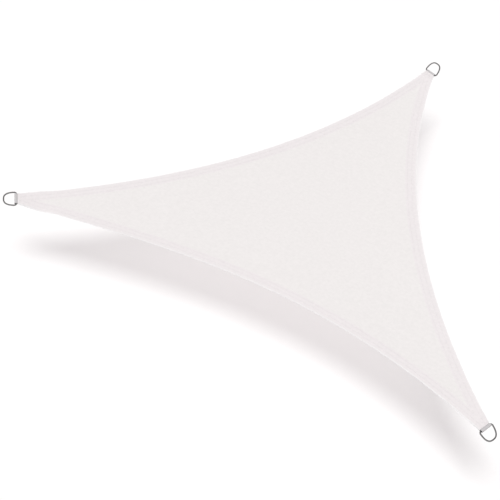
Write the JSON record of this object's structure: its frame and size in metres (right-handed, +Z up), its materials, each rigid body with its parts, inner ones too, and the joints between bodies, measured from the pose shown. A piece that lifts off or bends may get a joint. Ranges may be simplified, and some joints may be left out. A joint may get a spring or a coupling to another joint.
{
  "type": "triangular shade sail",
  "caption": "Triangular shade sail of hemmed polyester cloth with concave edges, stretched level, with a webbing loop and a steel D-ring at each corner.",
  "frame": {"origin": "the point inside the left ring's bow where a hook or rope bears on it, level with the corners of the cloth", "axes": "+X runs along the front edge from the left ring to the right ring, +Y towards the far ring, +Z up, square to the stretched cloth"},
  "size_m": [2.0968, 1.8175, 0.065],
  "materials": {
    "polyester_cloth": "matte woven white polyester, water repellent",
    "webbing": "ribbed light grey webbing",
    "ring_steel": "polished stainless wire"
  },
  "bodies": {
    "root": {"sail_cloth": "polyester_cloth", "corner_loop_left": "webbing", "corner_loop_far": "webbing", "corner_loop_right": "webbing", "d_ring_left": "ring_steel", "d_ring_far": "ring_steel", "d_ring_right": "ring_steel"}
  },
  "joints": []
}
